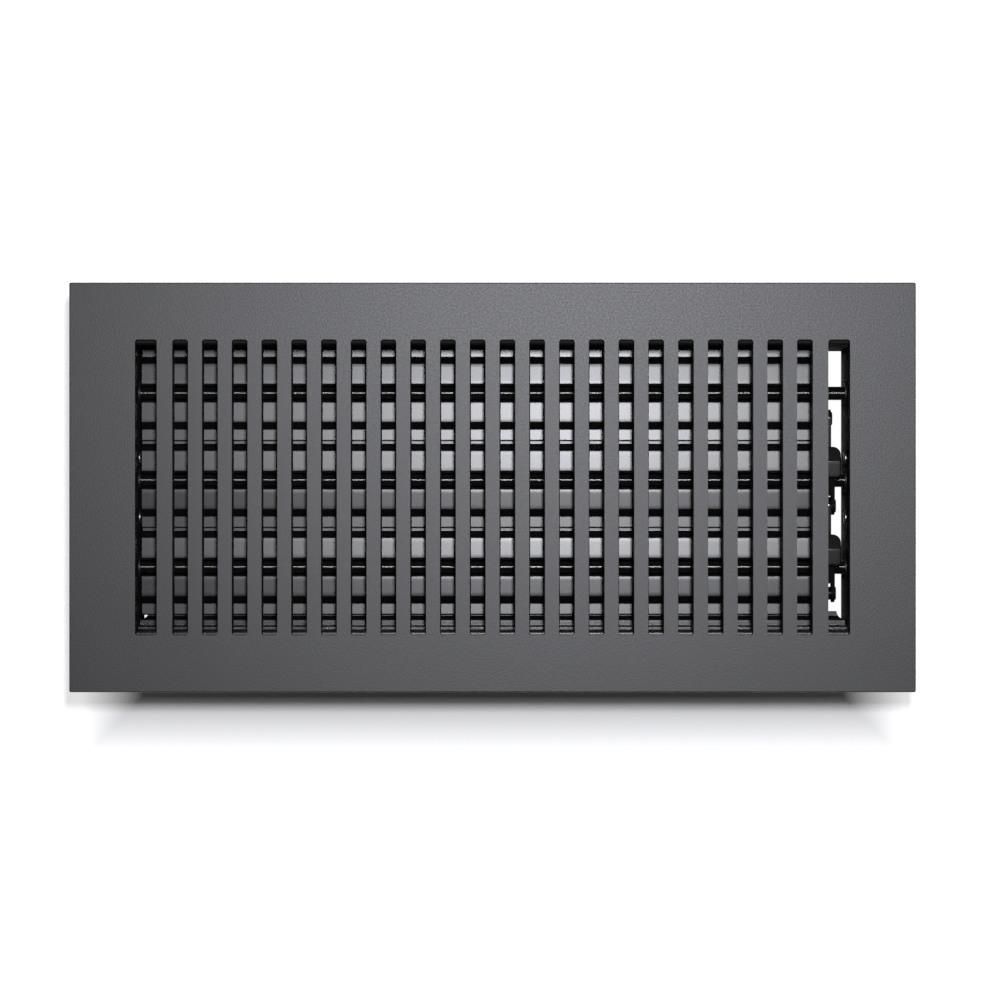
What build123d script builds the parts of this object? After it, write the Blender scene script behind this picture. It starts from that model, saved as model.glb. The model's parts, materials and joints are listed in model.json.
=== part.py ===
from build123d import *
import math
import os

# Floor register for a 4 x 10 inch duct, in millimetres.
# X runs along the plate, Y across it and Z up. The origin is the centre of the plate's seat on the floor.
# The damper is modelled closed: each blade's -Y edge lies over the next blade's +Y edge.

# Duct opening and face plate
duct_length = 254.0
duct_width = 101.6
plate_lap = 20.65  # floor covered past each side of the duct
plate_corner_radius = 0.6
plate_edge_radius = 0.4
rim_height = 6.0  # seat on the floor to the plate's top
rim_width = 9.0
rim_inner_radius = 3.0
web_thickness = 3.4  # border between the rim and the bars
bar_depth = 5.2

# Slots: a row of narrow ones with a wider finger slot at each end
field_inset = 2.3  # end of the slot row inside the duct's end
slot_length = 103.2
slot_width = 5.5
bar_width = 4.87  # aimed at: the bars share out what the slots leave
end_slot_width = 7.6
end_bar_width = 5.4
slot_corner_radius = 1.0

# Damper frame, folded from sheet
duct_clearance = 0.3  # each side
frame_sheet = 0.6
frame_bend = 0.6  # inside radius of each fold
box_depth = 38.0  # below the seat
flange_width = 9.0
flange_setback = 2.1  # flanges' ends inside the frame's
frame_gap = 0.1  # between folded pieces that do not bear on each other
flap_end = 7.0  # each end flap stops this far short of the middle
rivet_offset = 10.5
rivet_drop = 20.0
rivet_radius = 1.6
rivet_head_radius = 2.5
rivet_head_height = 0.6
fastener_fit = 0.05  # shank to hole
head_chamfer = 0.3

# Machine screws that hold the frame's flanges under the web
screw_spacing = 190.0
screw_radius = 1.5
screw_head_radius = 2.9
screw_head_height = 1.2
screw_grip = 2.0  # length in the web
screw_hole_spare = 0.2  # tapped hole past the screw's end
flange_hole_slack = 0.3

# Blades
blade_count = 3
blade_sheet = 0.7
blade_bend = 0.5
groove_bend = 0.25
blade_edge_round = 0.4  # upper corners of the cut edges
blade_lap = 2.15  # each closed blade over the next
blade_wall_gap = 0.3  # first blade to the +Y wall
blade_end_gap = 0.4  # blades to the rivet heads and bush flanges on the left
axle_drop = 19.5  # seat to the axles
axle_shift = 0.425  # axles towards +Y from the blades' middles
closed_tilt = 1.1  # degrees: -Y edge up, so that the blades lie shingled
upper_fall = 2.0  # degrees: the +Y flat falls away from the rod
flat_height = 1.9  # inner flats above the axle, at mid sheet
lip_height = 0.1  # outer flats above the axle, at mid sheet
lower_lip = 4.3  # -Y edge
lower_step = 2.3
upper_lip = 3.35  # +Y edge
upper_step = 2.2
rod_radius = 2.4
rod_groove_gap = 0.1
rod_end_setback = 0.2

# Bushes in the end plates
bush_radius = 3.5
bush_flange_radius = 4.5
bush_flange = 0.6
bush_running_gap = 0.05
bush_hole_gap = 0.05

# Linkage at the +X end
mechanism_length = 8.5  # crank ears to the frame's outside face
crank_out = 9.2  # pins towards -Y from the axles
crank_up = 6.2
ear_radius = 3.2
ear_root_width = 5.6
pin_radius = 1.5
pin_head_radius = 2.3
pin_head_height = 0.4
link_thickness = 2.4
link_lap = 1.1  # thickness of the halved ends
link_height = 6.4
link_side_gap = 0.2
link_hole_gap = 0.08
link_end_gap = 0.3  # halved end to the next link's round end

# Finger knobs on the links
knob_length = 10.8
knob_width = 6.0
knob_height = 4.7  # at the ridge
knob_back_height = 4.2
knob_nose_height = 2.9
knob_ridge = 0.2  # from the knob's middle towards +Y
knob_nose_radius = 2.8
knob_back_radius = 0.8
knob_edge_radius = 0.5
tab_length = 6.0
tab_height = 2.4
tab_gap = 0.05

# Stop strip that the last blade closes on
stop_room = 4.65  # last blade to the -Y wall
stop_lap = 1.35  # lip under the closed blade
stop_gap = 0.35
stop_lip_width = 2.0
stop_step_run = 1.0
stop_step_rise = 1.9
stop_leg = 7.0
stop_end_gap = 0.4  # strip to the end plates
stop_notch_radius = 2.8  # at both ends of the lip

# Sizes that follow
plate_length = duct_length + 2 * plate_lap
plate_width = duct_width + 2 * plate_lap
recess_top = rim_height - web_thickness
field_length = duct_length - 2 * field_inset
inner_field = field_length - 2 * (end_slot_width + end_bar_width)
inner_slots = math.floor((inner_field + bar_width) / (slot_width + bar_width) + 0.5)
slot_pitch = (inner_field - slot_width) / (inner_slots - 1)
end_slot_x = (field_length - end_slot_width) / 2

box_x = duct_length / 2 - duct_clearance
box_y = duct_width / 2 - duct_clearance
flange_half_length = box_x - flange_setback
wall_y = box_y - frame_sheet  # inside face of the side walls
plate_x = box_x - 2 * frame_sheet  # inside face of the end plates
bar_field_y = wall_y - frame_gap - frame_bend
flange_mid_z = recess_top - frame_sheet / 2
wall_top = flange_mid_z - frame_bend - frame_sheet / 2
screw_y = box_y + frame_bend + (flange_width - frame_bend) / 2
rivet_ys = (-rivet_offset, rivet_offset)
rivet_z = -rivet_drop

blade_room = 2 * wall_y - blade_wall_gap - stop_room
blade_pitch = (blade_room - blade_lap) / blade_count
blade_width = blade_pitch + blade_lap
axle_z = -axle_drop
upper_reach = blade_width / 2 - axle_shift
lower_reach = blade_width / 2 + axle_shift
axle_ys = [wall_y - blade_wall_gap - upper_reach - i * blade_pitch for i in range(blade_count)]
tilt = math.radians(closed_tilt)
groove_radius = rod_radius + rod_groove_gap + blade_sheet / 2
blade_left = -(plate_x - max(bush_flange, rivet_head_height) - blade_end_gap)
ear_face = box_x - mechanism_length
pin_dy = crank_up * math.sin(tilt) - crank_out * math.cos(tilt)
pin_dz = crank_out * math.sin(tilt) + crank_up * math.cos(tilt)
pin_z = axle_z + pin_dz
link_inner_x = ear_face + link_side_gap
link_outer_x = link_inner_x + link_thickness - link_lap  # lower ends


def cylinder_x(x0, x1, y, z, radius):
    """A round bar along X."""
    return extrude(Plane((x0, y, z), z_dir=(1, 0, 0)) * Circle(radius), x1 - x0)


def block(x0, x1, y0, y1, z0, z1):
    """A box between two corners."""
    return Pos((x0 + x1) / 2, (y0 + y1) / 2, (z0 + z1) / 2) * Box(x1 - x0, y1 - y0, z1 - z0)


def across_at(x):
    """The plane at x that looks along X, with Y to its right and Z up."""
    return Plane((x, 0, 0), x_dir=(0, 1, 0), z_dir=(1, 0, 0))


def sheet_face(path, sheet):
    """The section of a sheet that follows a mid-line."""
    left, right = [offset(path, sheet / 2, side=side) for side in (Side.LEFT, Side.RIGHT)]
    return make_face(left.edges()) + make_face(right.edges())


def slot_sketch():
    """Every slot of the grille."""
    narrow = RectangleRounded(slot_width, slot_length, slot_corner_radius)
    wide = RectangleRounded(end_slot_width, slot_length, slot_corner_radius)
    row = [Pos((i - (inner_slots - 1) / 2) * slot_pitch, 0) * narrow for i in range(inner_slots)]
    return Sketch() + row + [Pos(x, 0) * wide for x in (-end_slot_x, end_slot_x)]


def make_face_plate():
    """Cast plate: a seating rim, a thin border over the frame's flanges, and a field of deep bars."""
    plate = extrude(RectangleRounded(plate_length, plate_width, plate_corner_radius), rim_height)
    plate = fillet(plate.edges().group_by(Axis.Z)[-1], plate_edge_radius)
    inside = RectangleRounded(plate_length - 2 * rim_width, plate_width - 2 * rim_width, rim_inner_radius)
    bars = Rectangle(2 * end_slot_x, 2 * bar_field_y)
    plate -= extrude(inside - bars, recess_top)
    plate -= extrude(bars, rim_height - bar_depth)
    plate -= extrude(slot_sketch(), rim_height)
    hole = Cylinder(
        screw_radius + fastener_fit,
        screw_grip + screw_hole_spare,
        align=(Align.CENTER, Align.CENTER, Align.MIN),
    )
    return plate - [Pos(x, y, recess_top) * hole for x, y in screw_places()]


def screw_places():
    return [(x, y) for x in (-screw_spacing / 2, screw_spacing / 2) for y in (-screw_y, screw_y)]


def end_wall_holes():
    """Cutters for the bushes and rivets in both end walls."""
    reach = box_x + frame_sheet
    bushes = [cylinder_x(-reach, reach, y, axle_z, bush_radius + bush_hole_gap) for y in axle_ys]
    rivets = [cylinder_x(-reach, reach, y, rivet_z, rivet_radius + fastener_fit) for y in rivet_ys]
    return bushes + rivets


def make_side_wall(side):
    """Folded side wall: end flaps round both corners, and a flange out under the plate."""
    x = box_x - frame_sheet / 2
    y = box_y - frame_sheet / 2
    fold = frame_bend + frame_sheet / 2
    plan = FilletPolyline((-x, -flap_end), (-x, -y), (x, -y), (x, -flap_end), radius=fold)
    wall = extrude(Pos(0, 0, -box_depth) * sheet_face(plan, frame_sheet), box_depth + wall_top)
    edge = -(box_y + flange_width)
    lip = FilletPolyline((-y, wall_top - fold), (-y, flange_mid_z), (edge, flange_mid_z), radius=fold)
    wall += extrude(across_at(-flange_half_length) * sheet_face(lip, frame_sheet), 2 * flange_half_length)
    if side > 0:
        wall = mirror(wall, Plane.XZ)
    hole = Cylinder(screw_radius + flange_hole_slack, 2 * frame_sheet)
    screws = [Pos(x, y, flange_mid_z) * hole for x, y in screw_places()]
    return wall - end_wall_holes() - screws


def make_end_plate(side):
    """Flat plate inside the flaps, which carries the bushes."""
    half = wall_y - frame_bend - frame_gap
    x0, x1 = sorted((side * plate_x, side * (plate_x + frame_sheet)))
    return block(x0, x1, -half, half, -box_depth, wall_top) - end_wall_holes()


def make_rivets():
    """Rivets through the flaps and end plates, flush outside."""
    rivets = []
    for side in (-1, 1):
        for y in rivet_ys:
            head_x = side * (plate_x - rivet_head_height)
            head = cylinder_x(side * plate_x, head_x, y, rivet_z, rivet_head_radius)
            face = head.faces().sort_by(lambda f: abs(f.center().X))[0]
            head = chamfer(face.edges(), head_chamfer)
            rivets.append(head + cylinder_x(side * plate_x, side * box_x, y, rivet_z, rivet_radius))
    return rivets


def make_screws():
    """Low-headed screws up through the flanges into the web."""
    head_top = recess_top - frame_sheet
    base = (Align.CENTER, Align.CENTER, Align.MIN)
    head = Pos(0, 0, -screw_head_height) * Cylinder(screw_head_radius, screw_head_height, align=base)
    head = chamfer(head.edges().group_by(Axis.Z)[0], head_chamfer)
    screw = head + Cylinder(screw_radius, frame_sheet + screw_grip, align=base)
    return [Pos(x, y, head_top) * screw for x, y in screw_places()]


def at_axle(y):
    """Places a blade drawn about its axle, tilted shut."""
    return Pos(0, y, axle_z) * Rot(-closed_tilt, 0, 0)


def blade_wing(reach, lip, step, fall):
    """Half a blade's mid-line, edge to groove: a level lip, a step up and a flat that falls outwards."""
    slope = math.tan(math.radians(fall))
    flat_end = reach - lip - step
    lip_z = lip_height - slope * (reach - groove_radius)
    return [
        (reach, lip_z),
        (reach - lip, lip_z),
        (flat_end, flat_height - slope * (flat_end - groove_radius)),
        (groove_radius, flat_height),
        (groove_radius, 0),
    ]


def blade_section():
    """Half-round groove for the rod, with a raised flat and a lower lip on each side."""
    step_radius = blade_bend + blade_sheet / 2
    radii = [step_radius, step_radius, groove_bend + blade_sheet / 2]
    lower = blade_wing(lower_reach, lower_lip, lower_step, 0)
    upper = blade_wing(upper_reach, upper_lip, upper_step, upper_fall)
    left = FilletPolyline(*[(-u, w) for u, w in lower], radius=radii)
    groove = ThreePointArc((-groove_radius, 0), (0, -groove_radius), (groove_radius, 0))
    right = FilletPolyline(*reversed(upper), radius=radii[::-1])
    section = sheet_face(Wire([*left.edges(), *groove.edges(), *right.edges()]), blade_sheet)
    corners = [section.vertices().group_by(Axis.X)[end].sort_by(Axis.Y)[-1] for end in (0, -1)]
    return fillet(corners, blade_edge_round)


def make_blade(y):
    """Pressed blade with a crank ear folded up at its +X end."""
    fold = blade_bend + blade_sheet / 2
    ear_mid = ear_face - blade_sheet / 2
    blade_right = ear_mid - fold
    blade = extrude(across_at(blade_left) * blade_section(), blade_right - blade_left)
    inner = -groove_radius - groove_bend - blade_sheet / 2
    outer = inner - ear_root_width
    rise = FilletPolyline(
        (blade_right - fold, flat_height),
        (ear_mid, flat_height),
        (ear_mid, crank_up + ear_radius),
        radius=fold,
    )
    along = Plane((0, inner, 0), x_dir=(1, 0, 0), z_dir=(0, -1, 0))
    strip = extrude(along * sheet_face(rise, blade_sheet), crank_out + ear_radius + inner)
    root = Line((outer, flat_height - blade_sheet / 2), (inner, flat_height - blade_sheet / 2))
    eye = Pos(-crank_out, crank_up) * Circle(ear_radius)
    outline = make_hull([*root.edges(), *eye.edges()])
    ear = strip & extrude(across_at(blade_right - fold) * outline, ear_face - blade_right + fold)
    hole = cylinder_x(blade_right, ear_face, -crank_out, crank_up, pin_radius + fastener_fit)
    return at_axle(y) * (blade + ear - hole)


def make_rod(y):
    """Axle rod lying in the blade's groove, from bush to bush."""
    end = box_x - rod_end_setback
    return cylinder_x(-end, end, y, axle_z, rod_radius)


def make_bush(side, y):
    """Flanged bush, pushed into the end plate from inside."""
    inside, middle, outside = [side * x for x in (plate_x - bush_flange, plate_x, box_x)]
    flange = cylinder_x(inside, middle, y, axle_z, bush_flange_radius)
    barrel = cylinder_x(middle, outside, y, axle_z, bush_radius)
    return flange + barrel - cylinder_x(inside, outside, y, axle_z, rod_radius + bush_running_gap)


def make_pin(index):
    """Riveted pin in a crank ear; the last one has a shoulder in place of a second link."""
    y = axle_ys[index] + pin_dy
    ear_back = ear_face - blade_sheet
    last_link = link_inner_x if index == 0 else link_outer_x
    head_x = last_link + link_lap + link_side_gap / 2
    pin = cylinder_x(ear_back - pin_head_height, ear_back, y, pin_z, pin_head_radius)
    pin += cylinder_x(ear_back, head_x, y, pin_z, pin_radius)
    pin += cylinder_x(head_x, head_x + pin_head_height, y, pin_z, pin_head_radius)
    if index == blade_count - 1:
        pin += cylinder_x(ear_face, link_outer_x - link_side_gap / 2, y, pin_z, pin_head_radius)
    return pin


def link_middle(index):
    return axle_ys[index] + pin_dy - blade_pitch / 2


def make_link(index):
    """Flat link with halved ends, so that each lower end laps over the next link's upper end."""
    upper = axle_ys[index] + pin_dy
    lower = upper - blade_pitch
    middle = link_middle(index)
    top = link_height / 2 + tab_height
    side = Plane((link_inner_x, middle, pin_z), x_dir=(0, 1, 0), z_dir=(1, 0, 0))
    outline = SlotCenterToCenter(blade_pitch, link_height)
    outline += Pos(0, top / 2) * Rectangle(tab_length, top)
    link = extrude(side * outline, link_thickness)
    outside = link_inner_x + link_thickness
    low, high = pin_z - link_height, pin_z + link_height
    lap_top = lower + link_height / 2 + link_end_gap
    above = block(link_inner_x + link_lap, outside, middle + tab_length / 2, upper + link_height, low, high)
    below = block(link_inner_x, link_outer_x, lower - link_height, lap_top, low, high)
    holes = [cylinder_x(ear_face, outside, y, pin_z, pin_radius + link_hole_gap) for y in (upper, lower)]
    return link - [above, below, *holes]


def make_knob(index):
    """Moulded finger knob, pushed over the link's tab: a ramp up to a ridge, and a flat behind it."""
    half = knob_length / 2
    profile = Polyline(
        (-half, 0),
        (half, 0),
        (half, knob_nose_height),
        (knob_ridge, knob_height),
        (-half, knob_back_height),
        close=True,
    )
    plan = Rectangle(knob_width, knob_length)
    plan = fillet(plan.vertices().group_by(Axis.Y)[-1], knob_nose_radius)
    plan = fillet(plan.vertices().group_by(Axis.Y)[0], knob_back_radius)
    body = extrude(across_at(-knob_width / 2) * make_face(profile), knob_width) & extrude(plan, knob_height)
    base = body.faces().sort_by(Axis.Z)[0].edges()
    body = fillet(body.edges() - base - body.edges().filter_by(Axis.Z), knob_edge_radius)
    pocket = (link_thickness + 2 * tab_gap, tab_length + 2 * tab_gap, tab_height + tab_gap)
    body -= Box(*pocket, align=(Align.CENTER, Align.CENTER, Align.MIN))
    return Pos(link_inner_x + link_thickness / 2, link_middle(index), pin_z + link_height / 2) * body


def make_stop_strip():
    """Formed strip on the -Y wall: a notched lip under the last blade, a step up and a leg on the wall."""
    lip_end = axle_ys[-1] - lower_reach + stop_lap
    under_blade = (axle_ys[-1] - lip_end) * math.sin(tilt) + lip_height - blade_sheet / 2
    lip_z = axle_z + under_blade - stop_gap - frame_sheet / 2
    leg_y = -(wall_y - frame_sheet / 2)
    shelf_z = lip_z + stop_step_rise
    path = FilletPolyline(
        (lip_end, lip_z),
        (lip_end - stop_lip_width, lip_z),
        (lip_end - stop_lip_width - stop_step_run, shelf_z),
        (leg_y, shelf_z),
        (leg_y, shelf_z + stop_leg),
        radius=frame_bend + frame_sheet / 2,
    )
    half = plate_x - stop_end_gap
    strip = extrude(across_at(-half) * sheet_face(path, frame_sheet), 2 * half)
    notch = Cylinder(stop_notch_radius, 2 * stop_step_rise + 2 * frame_sheet)
    return strip - [Pos(x, lip_end, lip_z) * notch for x in (-half, half)]


def save(name, shape):
    solids = shape if isinstance(shape, list) else [shape]
    solids = [s for part in solids for s in part.solids()]
    export_step(solids[0] if len(solids) == 1 else Compound(children=solids), f"parts/{name}.step")


os.makedirs("parts", exist_ok=True)
save("face_plate", make_face_plate())
save("side_wall_front", make_side_wall(-1))
save("side_wall_back", make_side_wall(1))
save("end_plate_left", make_end_plate(-1))
save("end_plate_right", make_end_plate(1))
save("stop_strip", make_stop_strip())
save("frame_rivets", make_rivets())
save("flange_screws", make_screws())
for i, axle_y in enumerate(axle_ys):
    save(f"blade_{i + 1}", make_blade(axle_y))
    save(f"rod_{i + 1}", make_rod(axle_y))
    save(f"bush_left_{i + 1}", make_bush(-1, axle_y))
    save(f"bush_right_{i + 1}", make_bush(1, axle_y))
    save(f"link_pin_{i + 1}", make_pin(i))
for i, letter in enumerate("ab"):
    save(f"link_{letter}", make_link(i))
    save(f"knob_{letter}", make_knob(i))
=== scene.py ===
# %% [markdown]
# # A cast floor register with a blade damper
#
# A floor register is the grille that closes a heating duct where it comes up through the floor.
# The heavy plate takes the weight of a foot. Under it a folded steel box drops into the duct
# and carries three blades, which a finger opens and closes through the end slot. The solids
# come from the CAD part. This file gives them their finish, sets them on a white table and
# looks straight down on them, as the photograph does.

# %% Load the part
import json
import math

import bmesh
import bpy
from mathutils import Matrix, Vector


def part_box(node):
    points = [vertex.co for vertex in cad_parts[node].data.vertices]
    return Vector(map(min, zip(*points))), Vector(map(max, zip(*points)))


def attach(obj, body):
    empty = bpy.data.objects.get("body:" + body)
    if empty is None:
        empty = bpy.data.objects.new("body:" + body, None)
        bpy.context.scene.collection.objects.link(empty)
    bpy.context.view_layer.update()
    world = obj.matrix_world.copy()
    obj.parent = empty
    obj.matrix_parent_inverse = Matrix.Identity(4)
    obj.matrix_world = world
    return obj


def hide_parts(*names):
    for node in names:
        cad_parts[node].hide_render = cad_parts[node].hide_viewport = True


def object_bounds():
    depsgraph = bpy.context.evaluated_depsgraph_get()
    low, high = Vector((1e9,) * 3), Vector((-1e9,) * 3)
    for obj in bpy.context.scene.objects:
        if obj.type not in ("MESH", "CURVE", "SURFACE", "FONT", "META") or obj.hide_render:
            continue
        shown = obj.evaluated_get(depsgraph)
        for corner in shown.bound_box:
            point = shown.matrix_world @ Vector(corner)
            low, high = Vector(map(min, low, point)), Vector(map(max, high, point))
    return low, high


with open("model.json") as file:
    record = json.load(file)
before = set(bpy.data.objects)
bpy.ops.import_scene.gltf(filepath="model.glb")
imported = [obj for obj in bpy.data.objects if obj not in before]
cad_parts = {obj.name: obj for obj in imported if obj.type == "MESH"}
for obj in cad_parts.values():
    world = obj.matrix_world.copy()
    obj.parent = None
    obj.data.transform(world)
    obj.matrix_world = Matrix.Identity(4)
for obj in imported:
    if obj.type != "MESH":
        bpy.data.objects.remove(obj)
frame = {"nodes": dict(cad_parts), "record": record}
cad_low, cad_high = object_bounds()
MM = 0.001
print("pieces", len(frame["nodes"]), "size in mm", [round(v / MM, 1) for v in cad_high - cad_low])

# %% [markdown]
# ## Colours and nodes
#
# Colours are easiest to pick and to compare as the hex codes of a paint program, but shaders
# work in linear light, so one function converts them. A second one adds a shader node, sets it
# up and wires its inputs in one call, so that each material below reads as a short list of what
# it is made of.


# %% Helpers for materials
def paint(code):
    """Linear RGBA for an sRGB hex code."""
    channels = [int(code[i : i + 2], 16) / 255 for i in (1, 3, 5)]
    linear = [c / 12.92 if c <= 0.04045 else ((c + 0.055) / 1.055) ** 2.4 for c in channels]
    return (*linear, 1.0)


def add_node(tree, kind, inputs=(), **settings):
    """Adds a node with its settings; an input that is another node's output is linked."""
    node = tree.nodes.new(kind)
    for name, value in settings.items():
        setattr(node, name, value)
    for name, value in dict(inputs).items():
        if isinstance(value, bpy.types.NodeSocket):
            tree.links.new(value, node.inputs[name])
        else:
            node.inputs[name].default_value = value
    return node


def new_material(name):
    """An empty material and its node tree."""
    material = bpy.data.materials.new(name)
    material.use_nodes = True
    material.node_tree.nodes.clear()
    return material, material.node_tree


print("mid grey is", [round(c, 3) for c in paint("#808080")])

# %% [markdown]
# ## Charcoal powder coat on the casting
#
# The plate is sand cast and powder coated in a flat charcoal. Up close the coat is a fine
# pebble that scatters the light, and over a thumb's width the tone drifts a little where the
# powder lies thicker. Two noises do both: a fine one drives a shallow bump and a slight change
# of tone and gloss, a broad one drifts the colour. The real pebble is about a quarter of a
# millimetre, finer than a pixel here, so it is drawn at about twice that size. Powder coats are
# epoxy and polyester, which bend light a little more than most paints do.

# %% Plate coat
PEBBLE = 0.6 * MM
DRIFT = 22 * MM
plate_coat, tree = new_material("charcoal powder coat")
place = add_node(tree, "ShaderNodeTexCoord").outputs["Object"]
pebble = add_node(tree, "ShaderNodeTexNoise", {"Vector": place, "Scale": 1 / PEBBLE, "Detail": 3.0})
drift = add_node(tree, "ShaderNodeTexNoise", {"Vector": place, "Scale": 1 / DRIFT, "Detail": 4.0})
tone = add_node(
    tree,
    "ShaderNodeMath",
    {0: pebble.outputs["Fac"], 1: drift.outputs["Fac"]},
    operation="ADD",
)
spread = add_node(
    tree,
    "ShaderNodeMapRange",
    {"Value": tone.outputs[0], "From Min": 0.7, "From Max": 1.3},
)
shade = add_node(
    tree,
    "ShaderNodeMix",
    {"Factor": spread.outputs[0], "A": paint("#1e1e20"), "B": paint("#29292b")},
    data_type="RGBA",
)
bump = add_node(
    tree,
    "ShaderNodeBump",
    {"Height": pebble.outputs["Fac"], "Strength": 0.55, "Distance": 0.05 * MM},
)
dull = add_node(
    tree,
    "ShaderNodeMapRange",
    {
        "Value": pebble.outputs["Fac"],
        "From Min": 0.3,
        "From Max": 0.7,
        "To Min": 0.38,
        "To Max": 0.46,
    },
)
coat = add_node(
    tree,
    "ShaderNodeBsdfPrincipled",
    {
        "Base Color": shade.outputs["Result"],
        "Roughness": dull.outputs[0],
        "IOR": 1.58,
        "Normal": bump.outputs["Normal"],
    },
)
add_node(tree, "ShaderNodeOutputMaterial", {"Surface": coat.outputs["BSDF"]})
print(plate_coat.name, len(tree.nodes), "nodes")

# %% [markdown]
# ## Black enamel on the sheet metal
#
# The box, the blades, their rods and the links are steel with a baked black enamel. It is
# smoother than the plate's coat, so flat blades mirror the lamp as pale bands while the grooves
# stay black. A thin enamel keeps the grain of the steel under it: the blades' sheet was rolled
# across their length, and the rods have fine rings from grinding. Either way a highlight
# spreads along X and stays narrow across it, which is what an anisotropic shader with its
# tangent along X does. Gloss and grain are all that differs, so one function makes every
# enamel. A baked coat also has a faint orange peel, about a millimetre across, which the narrow
# rods and the strip are too small to show.

# %% Enamel
ORANGE_PEEL = 1.1 * MM


def black_enamel(name, code, roughness, peel, grain=0.0, ior=1.46):
    """Baked enamel; grain is how far its gloss is drawn out along X."""
    material, tree = new_material(name)
    place = add_node(tree, "ShaderNodeTexCoord").outputs["Object"]
    waves = add_node(
        tree,
        "ShaderNodeTexNoise",
        {"Vector": place, "Scale": 1 / ORANGE_PEEL, "Detail": 2.0},
    )
    bump = add_node(
        tree,
        "ShaderNodeBump",
        {"Height": waves.outputs["Fac"], "Strength": peel, "Distance": 0.02 * MM},
    )
    along = add_node(tree, "ShaderNodeCombineXYZ", {"X": 1.0})
    enamel = add_node(
        tree,
        "ShaderNodeBsdfPrincipled",
        {
            "Base Color": paint(code),
            "Roughness": roughness,
            "IOR": ior,
            "Anisotropic": grain,
            "Tangent": along.outputs["Vector"],
            "Normal": bump.outputs["Normal"],
        },
    )
    add_node(tree, "ShaderNodeOutputMaterial", {"Surface": enamel.outputs["BSDF"]})
    return material


blade_enamel = black_enamel(
    "black enamel, blades", "#121213", roughness=0.272, peel=0.05, grain=0.3
)
rod_enamel = black_enamel(
    "black enamel, rods", "#141415", roughness=0.24, peel=0.0, grain=0.88, ior=1.6
)
wall_enamel = black_enamel(
    "black enamel, front wall and strip", "#121213", roughness=0.3, peel=0.0
)
link_enamel = black_enamel("black enamel, links", "#121213", roughness=0.13, peel=0.02)
frame_enamel = black_enamel("dull black dip, frame", "#0c0c0d", roughness=0.7, peel=0.2)
enamels = (blade_enamel, rod_enamel, wall_enamel, link_enamel, frame_enamel)
print("enamels", [material.name for material in enamels])

# %% [markdown]
# ## Zinc plate, nylon and moulded knobs
#
# Rivets, pins and screws are zinc-plated steel: a metal with a slightly cloudy surface, which
# is bright on the rivets and screws and turned black by a dip on the pins. The bushes are black
# nylon, and the knobs a dark glass-filled nylon with a moulded skin.

# %% Fasteners and plastics
CLOUD = 1.5 * MM


def zinc_plated(name, code):
    """Zinc plate on steel, with a cloudy gloss."""
    material, tree = new_material(name)
    place = add_node(tree, "ShaderNodeTexCoord").outputs["Object"]
    cloud = add_node(
        tree,
        "ShaderNodeTexNoise",
        {"Vector": place, "Scale": 1 / CLOUD, "Detail": 3.0},
    )
    dull = add_node(
        tree,
        "ShaderNodeMapRange",
        {"Value": cloud.outputs["Fac"], "To Min": 0.25, "To Max": 0.42},
    )
    zinc = add_node(
        tree,
        "ShaderNodeBsdfPrincipled",
        {"Base Color": paint(code), "Metallic": 1.0, "Roughness": dull.outputs[0]},
    )
    add_node(tree, "ShaderNodeOutputMaterial", {"Surface": zinc.outputs["BSDF"]})
    return material


bright_zinc = zinc_plated("zinc-plated steel", "#c9cac8")
black_zinc = zinc_plated("black zinc-plated steel", "#1f1f20")

SKIN = 0.4 * MM


def moulded_nylon(name, code, roughness, grain):
    """Moulded nylon; grain is how deep the pattern of its skin is."""
    material, tree = new_material(name)
    place = add_node(tree, "ShaderNodeTexCoord").outputs["Object"]
    skin = add_node(tree, "ShaderNodeTexNoise", {"Vector": place, "Scale": 1 / SKIN, "Detail": 2.0})
    bump = add_node(
        tree,
        "ShaderNodeBump",
        {"Height": skin.outputs["Fac"], "Strength": grain, "Distance": 0.03 * MM},
    )
    nylon = add_node(
        tree,
        "ShaderNodeBsdfPrincipled",
        {
            "Base Color": paint(code),
            "Roughness": roughness,
            "IOR": 1.53,
            "Normal": bump.outputs["Normal"],
        },
    )
    add_node(tree, "ShaderNodeOutputMaterial", {"Surface": nylon.outputs["BSDF"]})
    return material


bush_nylon = moulded_nylon("black nylon", "#18181a", roughness=0.45, grain=0.1)
knob_nylon = moulded_nylon("dark glass-filled nylon", "#1a1a1b", roughness=0.28, grain=0.15)
print(bright_zinc.name, black_zinc.name, bush_nylon.name, knob_nylon.name)

# %% [markdown]
# ## Every piece gets its finish
#
# The part's record names a material slot for each piece, so the finishes are handed out by slot
# and no piece is forgotten. Two sets of pieces differ within their slot: the strip that the
# last blade closes on and the wall that carries it are folded from enamelled sheet, while the
# rest of the frame is only dipped, and the pins of the linkage have a black zinc plate.

# %% Hand out the finishes
finishes = {
    "cast_plate": plate_coat,
    "frame_paint": frame_enamel,
    "blade_paint": blade_enamel,
    "rod_steel": rod_enamel,
    "link_steel": link_enamel,
    "zinc_steel": bright_zinc,
    "bush_nylon": bush_nylon,
    "knob_plastic": knob_nylon,
}
for subpart in frame["record"]["subparts"]:
    mesh = frame["nodes"][subpart["node"]].data
    mesh.materials.clear()
    mesh.materials.append(finishes[subpart["material_slot"]])
for node in ("side_wall_front", "stop_strip"):
    frame["nodes"][node].data.materials[0] = wall_enamel
for node in ("link_pin_1", "link_pin_2", "link_pin_3"):
    frame["nodes"][node].data.materials[0] = black_zinc

# %% [markdown]
# ## Smooth bends
#
# The CAD part's meshes are loose triangles, so a bend or a rod shows as narrow flats and its
# highlight breaks up. These pieces get a finished copy each: its triangles are merged, the flat
# ones joined, and the small steps of a bend shaded as one curve. Weighted normals keep the
# large faces flat. The first copies are those of the rods, the side walls and the strip.

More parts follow.
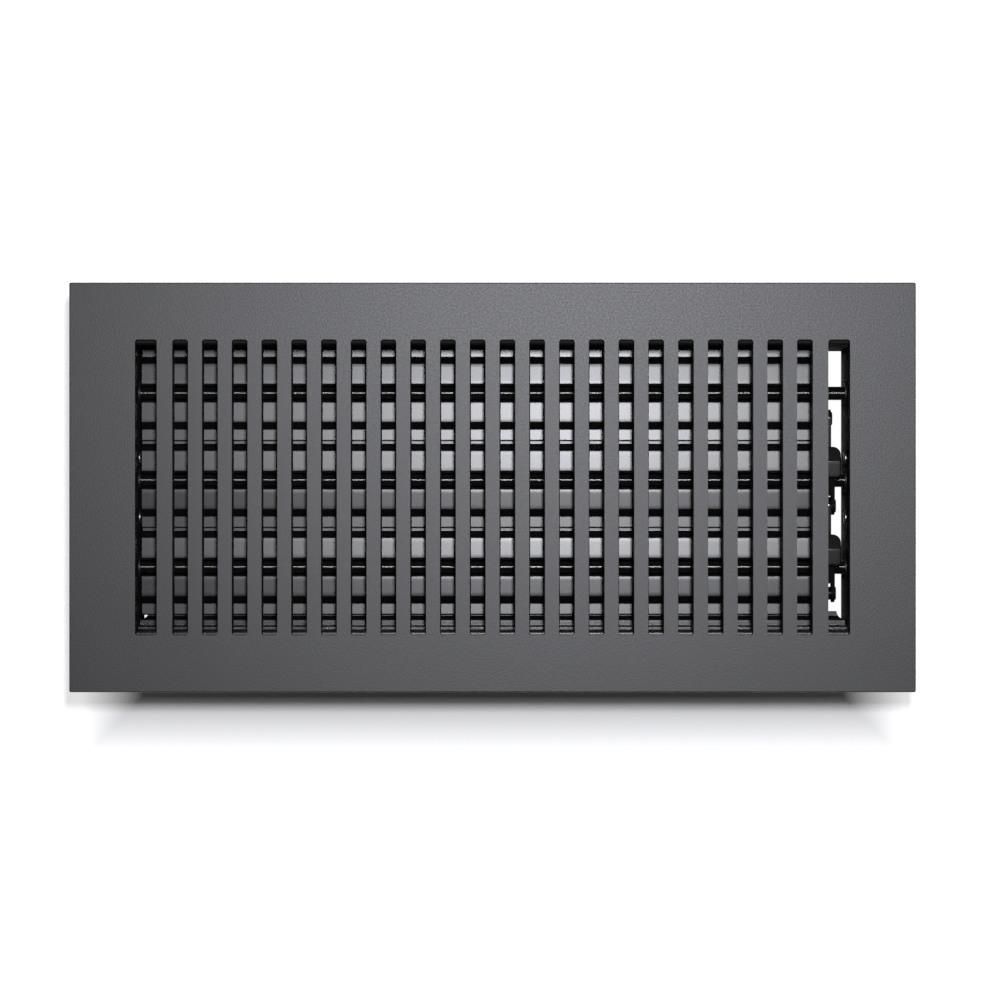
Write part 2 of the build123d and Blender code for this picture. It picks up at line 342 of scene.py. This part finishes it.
# %% Finished copies of formed pieces
MERGE = 0.01 * MM
FLAT = math.radians(1)  # triangles that meet at less than this are one face
CREASE = math.radians(35)  # edges sharper than this stay sharp
bodies = frame["record"]["behaviour"]["bodies"]
body_of = {node: body for body, nodes in bodies.items() for node in nodes}


def merged(node):
    """A CAD node's mesh with its triangles merged and the flat ones joined."""
    bm = bmesh.new()
    bm.from_mesh(frame["nodes"][node].data)
    bmesh.ops.remove_doubles(bm, verts=bm.verts, dist=MERGE)
    bmesh.ops.dissolve_limit(bm, angle_limit=FLAT, verts=bm.verts, edges=bm.edges)
    return bm


def stand_in(node, bm, flat_faces=True):
    """The finished mesh of a node, put in the node's place."""
    mesh = bpy.data.meshes.new(f"finished_{node}")
    bm.to_mesh(mesh)
    bm.free()
    mesh.shade_smooth()
    mesh.set_sharp_from_angle(angle=CREASE)
    mesh.materials.append(frame["nodes"][node].data.materials[0])
    piece = bpy.data.objects.new(mesh.name, mesh)
    bpy.context.scene.collection.objects.link(piece)
    if flat_faces:
        piece.modifiers.new("flat faces", "WEIGHTED_NORMAL").keep_sharp = True
    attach(piece, body_of[node])
    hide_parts(node)
    return piece


smooth = ("rod_1", "rod_2", "rod_3", "stop_strip", "side_wall_front", "side_wall_back")
for node in smooth:
    stand_in(node, merged(node))
print("smooth copies", smooth)

# %% [markdown]
# ## Soft shoulders on blades and knobs
#
# A press never folds sheet to a knife edge: close to each bend the flats already roll over, and
# the light shows it as a pale or dark seam along them. Each flat gets a cut near both edges, so
# that its shading is flat in the middle and rolls over between the cut and the bend. Sheet also
# springs back a little after the stroke, so no two flats lean alike, and a gloss shows a
# fraction of a degree. The blades' flats are tipped by that much, less than a tenth of a
# millimetre at their edges.

# %% Shoulders and spring-back
SHOULDER = 1.2 * MM
LIP_SHOULDER = 0.2 * MM
LIP_WIDTH = 5 * MM  # flats narrower than this are lips
NARROWEST = 1.5 * MM  # narrower faces belong to a bend
BEND = 1.0 * MM  # what tips along beside a flat
UPWARD = 0.9  # a face whose normal rises more than this looks up
# Degrees that each flat leans towards +Y: upper lip, upper flat, lower flat and lower lip
SPRING_BACK = {
    "blade_1": (0.0, 0.0, 0.7, 1.2),
    "blade_2": (0.0, -1.2, -1.2, 0.0),
    "blade_3": (0.0, -0.5, 0.0, 1.2),
}


def span(face, axis):
    """How far a face reaches along an axis, as its low and its high end."""
    places = [v.co[axis] for v in face.verts]
    return min(places), max(places)


def flats_on_top(bm):
    """The flat faces that look up, from +Y to -Y."""
    flats = [f for f in bm.faces if f.normal.z > UPWARD]
    for axis in (0, 1):
        flats = [f for f in flats if span(f, axis)[1] - span(f, axis)[0] > NARROWEST]
    return sorted(flats, key=lambda f: -span(f, 1)[0])


def soft_shoulders(bm, faces):
    """Cuts each face a shoulder's width from its edges."""
    for face in faces:
        geom = [face, *face.edges, *face.verts]
        reaches = [span(face, axis) for axis in (0, 1)]
        for (low, high), across in zip(reaches, (Vector((1, 0, 0)), Vector((0, 1, 0)))):
            width = SHOULDER if high - low > LIP_WIDTH else LIP_SHOULDER
            for place in (low + width, high - width):
                cut = bmesh.ops.bisect_plane(
                    bm, geom=geom, plane_co=across * place, plane_no=across
                )
                geom = cut["geom"]


def tip_flats(bm, flats, leans):
    """Leans each flat, with the bends beside it, about its own middle line."""
    for face, lean in zip(flats, leans):
        low, high = span(face, 1)
        for v in bm.verts:
            if low - BEND < v.co.y < high + BEND:
                reach = min(max(v.co.y, low), high) - (low + high) / 2
                v.co.z -= reach * math.tan(math.radians(lean))


for node in (*SPRING_BACK, "knob_a", "knob_b"):
    bm = merged(node)
    flats = flats_on_top(bm)
    widths = [round((span(face, 1)[1] - span(face, 1)[0]) / MM, 1) for face in flats]
    tip_flats(bm, flats, SPRING_BACK.get(node, ()))
    soft_shoulders(bm, flats)
    stand_in(node, bm, flat_faces=False)
    print(node, "flats in mm", widths)

# %% [markdown]
# ## Softened slots in the plate
#
# A casting comes out of the sand with draft: each slot is a little narrower below than above,
# so that the pattern lifts out, and its upper edges are slightly round. From above the draft
# shows as a thin dark line along both sides of every bar. A copy of the plate gets both: the
# long walls of its slots lean inwards with depth, and the upper edges are bevelled.

# %% Draft and rounding of the slots
EDGE_ROUND = 0.2 * MM
DRAFT = math.radians(4)
LEVEL = 0.1  # a face whose normal rises less than this is a wall
SHARP = math.radians(60)


def soften_plate():
    """The plate's copy, and how many walls were leant and edges rounded."""
    bm = merged("face_plate")
    top = cad_high.z - MERGE
    walls = [f for f in bm.faces if abs(f.normal.z) < LEVEL]
    walls = [f for f in walls if any(v.co.z > top for v in f.verts)]
    walls = [f for f in walls if all(abs(v.co.x) < cad_high.x - MERGE for v in f.verts)]
    walls = [f for f in walls if all(abs(v.co.y) < cad_high.y - MERGE for v in f.verts)]
    lean = {}
    for wall in walls:
        for v in wall.verts:
            lean[v] = lean.get(v, Vector()) + wall.normal
    for v, normal in lean.items():
        v.co.x += normal.normalized().x * (cad_high.z - v.co.z) * math.tan(DRAFT)
    edges = [e for e in bm.edges if e.calc_face_angle(0) > SHARP]
    edges = [e for e in edges if all(v.co.z > top for v in e.verts)]
    bmesh.ops.bevel(
        bm,
        geom=edges,
        offset=EDGE_ROUND,
        affect="EDGES",
        segments=3,
        profile=0.5,
        material=-1,
        clamp_overlap=True,
    )
    return stand_in("face_plate", bm), len(walls), len(edges)


plate, leaning, rounded = soften_plate()
print("leaning walls", leaning, "rounded edges", rounded, "faces", len(plate.data.polygons))

# %% [markdown]
# ## Rounded links
#
# The links are punched from flat bar, and tumbling rounds their long edges. From above such an
# edge draws one thin bright line on the black bar. A copy of each link gets its upper long
# edges bevelled.

# %% Rounding of the links
LINK_ROUND = 0.5 * MM
ALONG = 0.99  # cosine from which a direction counts as along an axis


def runs_along_y(edge):
    """Whether an edge runs along the link."""
    course = edge.verts[1].co - edge.verts[0].co
    return abs(course.normalized().y) > ALONG


for node in ("link_a", "link_b"):
    bm = merged(node)
    edges = [e for e in bm.edges if runs_along_y(e) and e.calc_face_angle(0) > SHARP]
    edges = [e for e in edges if max(f.normal.z for f in e.link_faces) > ALONG]
    bmesh.ops.bevel(
        bm,
        geom=edges,
        offset=LINK_ROUND,
        affect="EDGES",
        segments=4,
        profile=0.5,
        material=-1,
        clamp_overlap=True,
    )
    stand_in(node, bm)
    print(node, "rounded edges", len(edges))

# %% [markdown]
# ## The table and the backdrop
#
# The register stands on the lower edge of its box, on a white table. A white wall stands far
# round it for the views from the side. Both look white to the camera and in reflections, but
# only the lamps light the object. A plain emission would light the blades from all sides, so
# the light path node lets it shine only where it is seen.

# %% Helpers for the stage
table_z = cad_low.z
box_low, box_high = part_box("end_plate_left")[0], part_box("end_plate_right")[1]


def seen_as_white(tree, strength):
    """White light for the camera, reflections and clear materials, and none for the rest."""
    path = add_node(tree, "ShaderNodeLightPath")
    seen = path.outputs["Is Camera Ray"]
    for kind in ("Is Glossy Ray", "Is Transmission Ray"):
        either = {0: seen, 1: path.outputs[kind]}
        seen = add_node(tree, "ShaderNodeMath", either, operation="MAXIMUM").outputs[0]
    level = add_node(tree, "ShaderNodeMath", {0: seen, 1: strength}, operation="MULTIPLY")
    return add_node(tree, "ShaderNodeEmission", {"Strength": level.outputs[0]})


def stage_piece(name, bm, material):
    """An object of the stage, which is not part of the register."""
    mesh = bpy.data.meshes.new(name)
    bm.to_mesh(mesh)
    bm.free()
    mesh.materials.append(material)
    piece = bpy.data.objects.new(name, mesh)
    bpy.context.scene.collection.objects.link(piece)
    return piece


print("table at", round(table_z / MM, 1), "mm")

# %% [markdown]
# ## The table's paint
#
# Under the box, and in a patch towards -Y, the table is plain white paint, so that the real
# shadow stays. Further out it turns to pure white. The patch reaches past where the lamp's
# shadow ends, so towards -Y the held-back glow also paints a longer, softer shadow. The paint
# works out how far a point lies past that dark patch, and two ramps turn the distance into a
# glow: a short one up to the plate's outline and a long soft one beyond it.

# %% Table paint
SHADOW_REACH = (0.03, 0.2)  # where the long ramp starts and where the table is pure white
NEAR_GLOW = 0.7  # the glow at the plate's outline
SHADOW_FALL = 0.026  # how far the dark patch reaches past the box towards -Y
# The patch is shifted towards -Y, so the glow held back there paints a longer, softer shadow below
# the plate than the lamp casts
painted_shadow_middle = Vector((0, -SHADOW_FALL / 2, 0))
painted_shadow_half = Vector((box_high.x, box_high.y + SHADOW_FALL / 2, 0))
lap = cad_high.y - box_high.y

table_paint_and_painted_shadow, tree = new_material("white table paint with painted shadow")
place = add_node(tree, "ShaderNodeTexCoord").outputs["Object"]
shift = {0: place, 1: painted_shadow_middle}
place = add_node(tree, "ShaderNodeVectorMath", shift, operation="SUBTRACT").outputs["Vector"]
side = add_node(tree, "ShaderNodeVectorMath", {0: place}, operation="ABSOLUTE")
past = add_node(
    tree,
    "ShaderNodeVectorMath",
    {0: side.outputs["Vector"], 1: painted_shadow_half},
    operation="SUBTRACT",
)
past = add_node(tree, "ShaderNodeSeparateXYZ", {"Vector": past.outputs["Vector"]})
# Where this distance is small the glow stays low: the real shadow shows, and past it towards -Y a
# painted shadow
away = add_node(
    tree,
    "ShaderNodeMath",
    {0: past.outputs["X"], 1: past.outputs["Y"]},
    operation="MAXIMUM",
)
near = add_node(
    tree,
    "ShaderNodeMapRange",
    {"Value": away.outputs[0], "From Max": lap, "To Max": NEAR_GLOW},
)
glow = add_node(
    tree,
    "ShaderNodeMapRange",
    {
        "Value": away.outputs[0],
        "From Min": SHADOW_REACH[0],
        "From Max": SHADOW_REACH[1],
        "To Min": near.outputs[0],
    },
    interpolation_type="SMOOTHSTEP",
)
white = add_node(tree, "ShaderNodeBsdfDiffuse", {"Color": paint("#f2f2f2")})
seen = seen_as_white(tree, glow.outputs[0])
both = add_node(tree, "ShaderNodeAddShader", {0: white.outputs["BSDF"], 1: seen.outputs[0]})
add_node(tree, "ShaderNodeOutputMaterial", {"Surface": both.outputs["Shader"]})
print(table_paint_and_painted_shadow.name, len(tree.nodes), "nodes")

# %% [markdown]
# ## Table, wall and a glowing white card
#
# The table is a disc, and the wall its rim drawn upwards, so that no corner shows in a view
# from the side. The open finger slot shows what lies under the box, which is white in the
# photograph, while a table there would lie in the box's own shade. So a glowing card that only
# the camera sees lies on it: painted light where the box's shade would fall.

# %% Table, wall and card
TABLE_RADIUS = 3.0
ROUND_STEPS = 96
WALL_HEIGHT = 0.9
CARD_LIFT = 0.3 * MM

wall_paint, tree = new_material("white wall")
add_node(tree, "ShaderNodeOutputMaterial", {"Surface": seen_as_white(tree, 1.0).outputs[0]})

# The card is an emission seen only by the camera: painted light where the box's shade lies on the
# table
card_glow, tree = new_material("white card")
shine = add_node(tree, "ShaderNodeEmission")
add_node(tree, "ShaderNodeOutputMaterial", {"Surface": shine.outputs[0]})

bm = bmesh.new()
bmesh.ops.create_circle(bm, cap_ends=True, segments=ROUND_STEPS, radius=TABLE_RADIUS)
bmesh.ops.translate(bm, vec=(0, 0, table_z), verts=bm.verts)
stage_piece("white table", bm, table_paint_and_painted_shadow)

bm = bmesh.new()
bmesh.ops.create_circle(bm, segments=ROUND_STEPS, radius=TABLE_RADIUS)
bmesh.ops.translate(bm, vec=(0, 0, table_z), verts=bm.verts)
rise = bmesh.ops.extrude_edge_only(bm, edges=bm.edges[:])
top = [v for v in rise["geom"] if isinstance(v, bmesh.types.BMVert)]
bmesh.ops.translate(bm, vec=(0, 0, WALL_HEIGHT), verts=top)
stage_piece("white wall", bm, wall_paint)

bm = bmesh.new()
bmesh.ops.create_grid(bm, x_segments=1, y_segments=1, size=0.5)
bmesh.ops.scale(bm, vec=(box_high.x - box_low.x, box_high.y - box_low.y, 1), verts=bm.verts)
bmesh.ops.translate(bm, vec=(0, 0, table_z + CARD_LIFT), verts=bm.verts)
card = stage_piece("white card", bm, card_glow)
card.visible_diffuse = False
card.visible_glossy = False
card.visible_transmission = False
card.visible_shadow = False
print("card in mm", [round(v / MM, 1) for v in card.dimensions])

# %% [markdown]
# ## Light
#
# One small softbox hangs close beside the camera, a little towards +X and +Y, with the slightly
# cool light of a studio flash. Being small, it is seen whole or not at all through a slot, so
# no bar cuts its reflection on a blade in half. The blades' grain spreads that reflection: they
# are brightest right of the middle and fade to both ends, as in the photograph. A dim grey room
# fills the shadows.

# %% Softbox and room
SOFTBOX_SIZE = (0.07, 0.12)
SOFTBOX_PLACE = Vector((0.053, 0.16, 1.29))
SOFTBOX_POWER = 8.7
SOFTBOX_COLOUR = "#f8f9ff"
ROOM_LEVEL = 0.06

lamp = bpy.data.lights.new("softbox", "AREA")
lamp.shape = "RECTANGLE"
lamp.size, lamp.size_y = SOFTBOX_SIZE
lamp.energy = SOFTBOX_POWER
lamp.color = paint(SOFTBOX_COLOUR)[:3]
softbox = bpy.data.objects.new("softbox", lamp)
softbox.location = SOFTBOX_PLACE
bpy.context.scene.collection.objects.link(softbox)

room = bpy.data.worlds.new("grey room")
room.use_nodes = True
room.node_tree.nodes["Background"].inputs["Color"].default_value = (1, 1, 1, 1)
room.node_tree.nodes["Background"].inputs["Strength"].default_value = ROOM_LEVEL
bpy.context.scene.world = room
print("softbox", SOFTBOX_POWER, "W, room", ROOM_LEVEL)

# %% [markdown]
# ## Camera
#
# The photograph looks straight down from well above, so the far walls of the box barely show.
# The frame is square, and the plate's place and size in it set where the camera stands and how
# long its lens is.

# %% Camera
CAMERA_HEIGHT = 1300 * MM
CAMERA_SHIFT = Vector((2.6, -4.4, 0)) * MM
FRAME_WIDTH = 348.7 * MM
SENSOR = 36.0
FARTHEST = 20.0

camera_data = bpy.data.cameras.new("camera")
camera_data.sensor_width = SENSOR
camera_data.lens = SENSOR * CAMERA_HEIGHT / FRAME_WIDTH
camera_data.clip_end = FARTHEST
camera = bpy.data.objects.new("camera", camera_data)
camera.location = CAMERA_SHIFT + Vector((0, 0, cad_high.z + CAMERA_HEIGHT))
bpy.context.scene.collection.objects.link(camera)
bpy.context.scene.camera = camera
bpy.context.scene.view_settings.view_transform = "Standard"
print("lens", round(camera_data.lens, 1), "mm")
